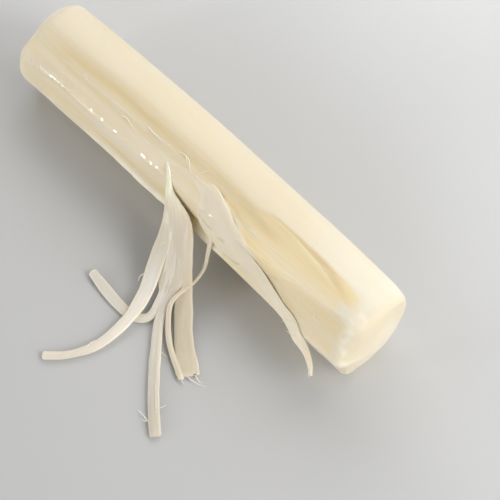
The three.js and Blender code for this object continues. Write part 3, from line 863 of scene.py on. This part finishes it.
skin_colour = (0.78, 0.695, 0.53, 1)
sheen_colour = (0.85, 0.805, 0.69, 1)
torn_colour = (0.81, 0.715, 0.52, 1)
warm_colour = (0.865, 0.735, 0.475, 1)
pale_lip_and_highlight_colour = (0.965, 0.877, 0.72, 1)
cloud_and_shade_colour = (0.78, 0.64, 0.37, 1)
film_colour = (0.86, 0.77, 0.61, 1)
veil_colour = (0.88, 0.795, 0.67, 1)
string_colour = (0.84, 0.80, 0.735, 1)
place = node(cheese_tree, "ShaderNodeSeparateXYZ")
feed(cheese_tree, place.inputs["Vector"], mark("grain"))
# painted sheen of the light from the right: the skin turns paler towards the +X end, then back
# to the skin colour at the very ends
right_end_sheen = ramp(cheese_tree, place.outputs["X"], 0.015, 0.05)
colour = blend(right_end_sheen, skin_colour, sheen_colour)
ends = cheese_maths("ABSOLUTE", place.outputs["X"])
colour = blend(ramp(cheese_tree, ends, 0.042, 0.0455), colour, skin_colour)
inside = blend(ramp(cheese_tree, place.outputs["X"], -0.005, 0.012), torn_colour, warm_colour)
colour = blend(mark("torn"), colour, inside)
# painted shade: darker and yellower in the hollows, grooves and slits
colour = blend(mark("painted_shade"), colour, cloud_and_shade_colour)
colour = blend(mark("film"), colour, film_colour)
colour = blend(mark("string"), colour, string_colour)

# clouds of whiter and yellower cheese, pale streaks and single pale fibres where it is torn
cloud = use(mottle_tree, Scale=170.0, Stretch=0.35, Low=0.35, High=0.65)
colour = blend(cheese_maths("MULTIPLY", cloud, 0.2), colour, cloud_and_shade_colour)
veiled = ramp(cheese_tree, place.outputs["X"], 0.014, 0.022)
veiled = cheese_maths("MULTIPLY_ADD", veiled, 0.35, 0.1)
veiled = cheese_maths("MULTIPLY", mark("torn"), veiled)
veil = use(mottle_tree, Scale=240.0, Stretch=0.12, Low=0.45, High=0.7)
colour = blend(cheese_maths("MULTIPLY", veil, veiled), colour, veil_colour)
streak = use(mottle_tree, Scale=700.0, Stretch=0.05, Low=0.4, High=0.75)
streaked = cheese_maths("MULTIPLY_ADD", mark("torn"), 0.32, 0.04)
streak = cheese_maths("MULTIPLY", streak, streaked)
colour = blend(streak, colour, string_colour)
stripe = use(mottle_tree, Scale=900.0, Stretch=0.04, Low=0.42, High=0.68)
stripe = cheese_maths("MULTIPLY", stripe, cheese_maths("MULTIPLY", mark("thin"), 0.22))
colour = blend(stripe, colour, torn_colour)
# the pale lip, and painted highlights on rims, edges and the wet streak
colour = blend(mark("pale_lip_and_highlights"), colour, pale_lip_and_highlight_colour)
lines = use(grain_tree, Scale=2600.0, Stretch=0.02)
lines = cheese_maths("SUBTRACT", lines, 0.75)
tone = cheese_maths("MULTIPLY_ADD", mark("torn"), 0.04, 0.02)
tone = cheese_maths("MULTIPLY_ADD", lines, tone, 1.0)
# painted light and shade: brightness set per string, over the sheet and in the slits
tone = cheese_maths("MULTIPLY", tone, mark("painted_light"))
shading = node(cheese_tree, "ShaderNodeVectorMath", operation="SCALE")
feed(cheese_tree, shading.inputs[0], colour)
feed(cheese_tree, shading.inputs["Scale"], tone)

base = node(cheese_tree, "ShaderNodeBsdfPrincipled")
feed(cheese_tree, base.inputs["Base Color"], shading.outputs["Vector"])
base.inputs["IOR"].default_value = 1.42
base.inputs["Subsurface Weight"].default_value = 1.0
base.inputs["Subsurface Radius"].default_value = (1.0, 0.9, 0.75)
depth = cheese_maths("MULTIPLY_ADD", mark("thin"), -0.001, 0.0014)
feed(cheese_tree, base.inputs["Subsurface Scale"], depth)

# moist all over, wetter in patches where it is torn, and wet through along the shoulder
damp = use(mottle_tree, Scale=420.0, Stretch=0.4, Low=0.5, High=0.62)
damp = cheese_maths("MULTIPLY", damp, mark("torn"))
dull = cheese_maths("MULTIPLY_ADD", damp, -0.1, 0.45)
feed(cheese_tree, base.inputs["Roughness"], dull)
wet = cheese_maths("MULTIPLY_ADD", damp, 0.06, mark("wet"))
wet = cheese_maths("MULTIPLY_ADD", mark("thin"), 0.1, wet)
feed(cheese_tree, base.inputs["Coat Weight"], wet)
coat_dull = cheese_maths("MULTIPLY_ADD", mark("pitted"), 0.08, 0.1)
feed(cheese_tree, base.inputs["Coat Roughness"], coat_dull)

bump = node(cheese_tree, "ShaderNodeBump")
bump.inputs["Distance"].default_value = 0.0002
dry = cheese_maths("SUBTRACT", 1.0, mark("wet"))
relief_strength = cheese_maths("MULTIPLY_ADD", mark("torn"), 0.22, 0.05)
relief_strength = cheese_maths("MULTIPLY", relief_strength, dry)
relief_strength = cheese_maths("MULTIPLY_ADD", mark("pitted"), 0.5, relief_strength)
feed(cheese_tree, bump.inputs["Strength"], relief_strength)
pits = use(mottle_tree, Scale=3200.0, Stretch=0.7, Low=0.35, High=0.65)
pits = cheese_maths("MULTIPLY", pits, mark("pitted"))
height = cheese_maths("ADD", pits, use(grain_tree, Scale=2200.0, Stretch=0.05))
feed(cheese_tree, bump.inputs["Height"], height)
feed(cheese_tree, base.inputs["Normal"], bump.outputs["Normal"])
out = node(cheese_tree, "ShaderNodeOutputMaterial")
feed(cheese_tree, out.inputs["Surface"], base.outputs["BSDF"])
fused.materials.clear()
fused.materials.append(cheese)
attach(stick, "root")
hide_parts("string_cheese")

# the loose fibres are the whitest cheese of all
fibre_cheese = bpy.data.materials.new("loose_fibres")
fibre_cheese.use_nodes = True
thread = fibre_cheese.node_tree.nodes["Principled BSDF"]
thread.inputs["Base Color"].default_value = (0.93, 0.88, 0.76, 1)
thread.inputs["Roughness"].default_value = 0.35
thread.inputs["IOR"].default_value = 1.42
thread.inputs["Subsurface Weight"].default_value = 1.0
thread.inputs["Subsurface Radius"].default_value = (1.0, 0.9, 0.75)
thread.inputs["Subsurface Scale"].default_value = 0.0002
grown = hairs.modifiers.new("loose fibres", "NODES")
grown.node_group = hair_tree
for item in hair_tree.interface.items_tree:
    if item.name == "Material":
        grown[item.identifier] = fibre_cheese
bpy.context.view_layer.update()
grown_hairs = hairs.evaluated_get(bpy.context.evaluated_depsgraph_get())
hair_mesh = bpy.data.meshes.new_from_object(grown_hairs)
bpy.data.objects.remove(hairs)
hairs = bpy.data.objects.new("loose_fibres", hair_mesh)
bpy.context.scene.collection.objects.link(hairs)
hair_mesh.shade_smooth()
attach(hairs, "root")


# The table
# A smooth, slightly glossy pale grey surface.
table = bpy.data.meshes.new("table")
table.from_pydata([(-1, -1, 0), (1, -1, 0), (1, 1, 0), (-1, 1, 0)], [], [(0, 1, 2, 3)])
floor = bpy.data.objects.new("table", table)
bpy.context.scene.collection.objects.link(floor)
surface = bpy.data.materials.new("table")
surface.use_nodes = True
shader = surface.node_tree.nodes["Principled BSDF"]
shader.inputs["Base Color"].default_value = (0.575, 0.573, 0.565, 1)
shader.inputs["Roughness"].default_value = 0.25
table.materials.append(surface)


# The light
# A pale room with soft lights: the brightest from the right, broad ones from behind, in
# front and the left, and a small low lamp at the left that makes the wet cheese glint.
def soft_light(name, azimuth, elevation, distance, width, height, power):
    lamp = bpy.data.lights.new(name, "AREA")
    lamp.shape = "RECTANGLE"
    lamp.size = width
    lamp.size_y = height
    lamp.energy = power
    light = bpy.data.objects.new(name, lamp)
    a, e = math.radians(azimuth), math.radians(elevation)
    away = Vector((math.sin(a) * math.cos(e), -math.cos(a) * math.cos(e), math.sin(e)))
    light.location = away * distance
    light.rotation_euler = away.to_track_quat("Z", "Y").to_euler()
    bpy.context.scene.collection.objects.link(light)


soft_light("key", 148, 50, 0.28, 0.25, 0.2, 0.21)
soft_light("far", 180, 40, 0.3, 0.25, 0.2, 0.24)
soft_light("right", 105, 30, 0.45, 0.3, 0.3, 1.37)
soft_light("back", 225, 35, 0.5, 0.4, 0.3, 1.07)
soft_light("front", 20, 15, 0.5, 0.5, 0.3, 1.0)
soft_light("left", 300, 30, 0.6, 0.4, 0.3, 0.66)
soft_light("lamp", 330, 13, 0.6, 0.09, 0.09, 0.9)
world = bpy.data.worlds.new("room")
world.use_nodes = True
world.node_tree.nodes["Background"].inputs["Color"].default_value = (1, 1, 1, 1)
world.node_tree.nodes["Background"].inputs["Strength"].default_value = 0.03
bpy.context.scene.world = world
bpy.context.scene.view_settings.view_transform = "Standard"

# The camera looks down at the stick from the front right.
lens = bpy.data.cameras.new("camera")
lens.lens = 85
lens.sensor_width = 36
camera = bpy.data.objects.new("camera", lens)
a, e = math.radians(45.3), math.radians(66)
away = Vector((math.sin(a) * math.cos(e), -math.cos(a) * math.cos(e), math.sin(e)))
camera.location = Vector((0.0166, -0.00482, 0.0093)) + away * 0.2229
camera.rotation_euler = away.to_track_quat("Z", "Y").to_euler()
bpy.context.scene.collection.objects.link(camera)
bpy.context.scene.camera = camera
